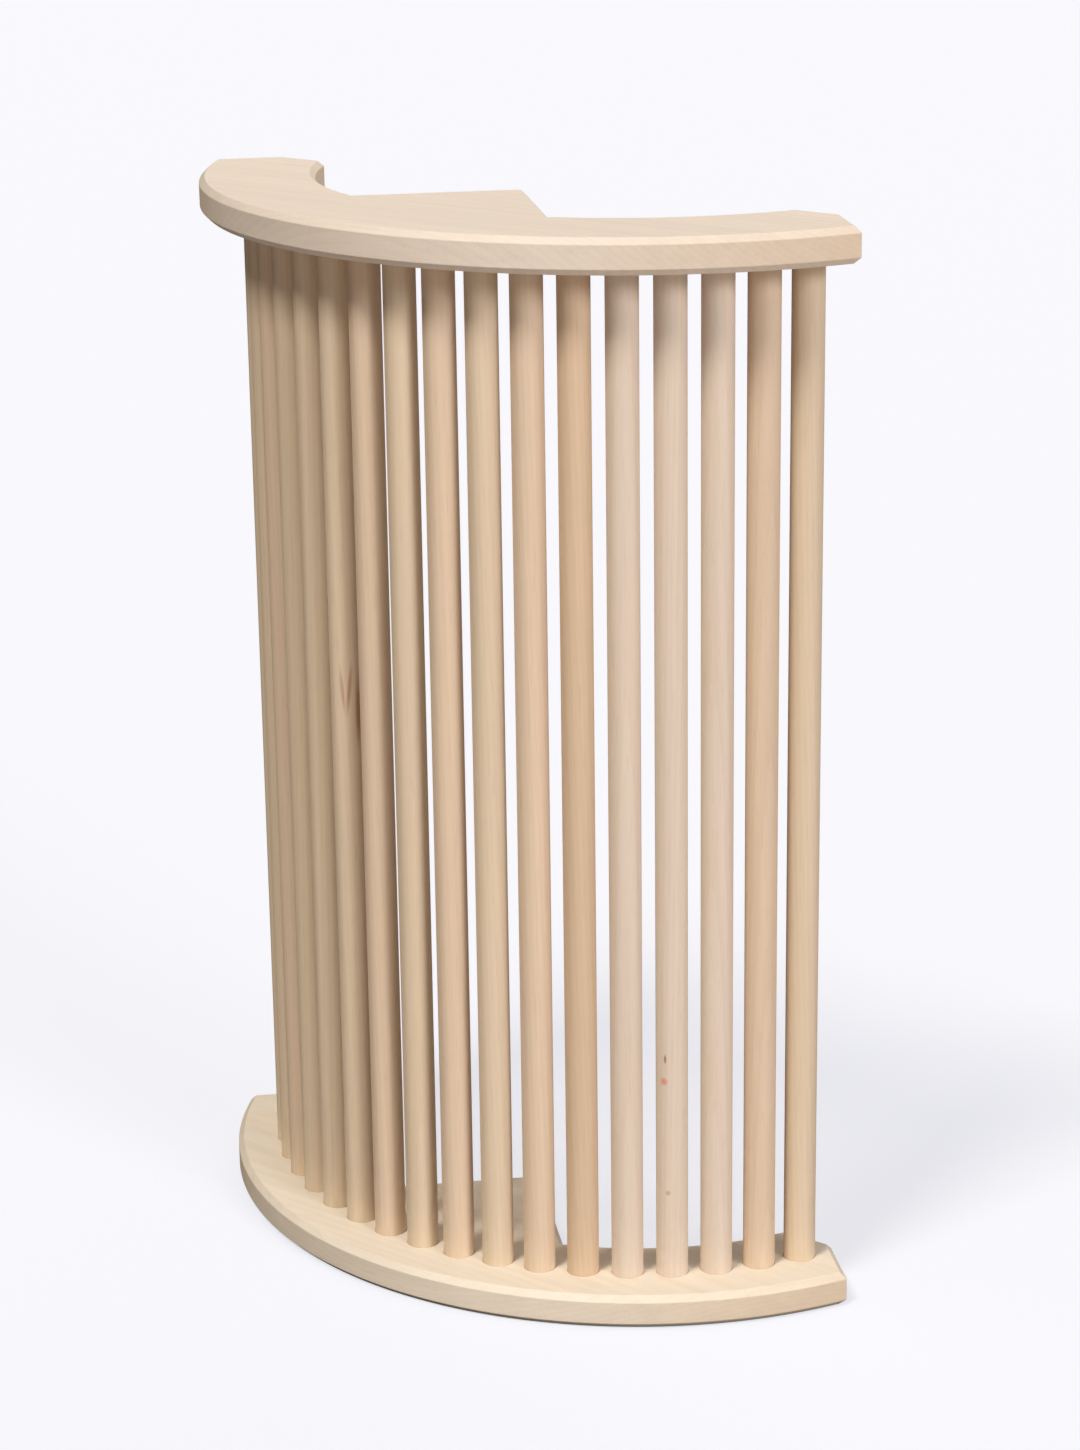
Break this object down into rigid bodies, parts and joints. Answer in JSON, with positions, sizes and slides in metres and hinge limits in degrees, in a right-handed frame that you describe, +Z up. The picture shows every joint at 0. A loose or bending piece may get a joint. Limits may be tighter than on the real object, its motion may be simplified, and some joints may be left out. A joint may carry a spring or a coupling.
{
  "type": "slatted corner guard",
  "caption": "Curved slatted wooden guard for a room corner: matching arc-shaped floor and top boards, each with a pointed rear tab, joined by an arc of upright round dowels.",
  "frame": {"origin": "centre of the bounding box at floor level, under the open space just behind the middle dowels", "axes": "+Z up along the dowels, -Y to the front where the curve bulges out, +Y back to the corner of the walls, +X to the right across the guard"},
  "size_m": [0.495, 0.1859, 0.684],
  "materials": {
    "board_wood": "bare fine-sanded pale hardwood board, chamfered edges",
    "dowel_wood": "bare fine-sanded pale hardwood dowel, straight grain"
  },
  "bodies": {
    "root": {"bottom_board": "board_wood", "top_board": "board_wood", "dowel_01": "dowel_wood", "dowel_02": "dowel_wood", "dowel_03": "dowel_wood", "dowel_04": "dowel_wood", "dowel_05": "dowel_wood", "dowel_06": "dowel_wood", "dowel_07": "dowel_wood", "dowel_08": "dowel_wood", "dowel_09": "dowel_wood", "dowel_10": "dowel_wood", "dowel_11": "dowel_wood", "dowel_12": "dowel_wood", "dowel_13": "dowel_wood", "dowel_14": "dowel_wood", "dowel_15": "dowel_wood", "dowel_16": "dowel_wood", "dowel_17": "dowel_wood", "dowel_18": "dowel_wood", "dowel_19": "dowel_wood"}
  },
  "joints": []
}
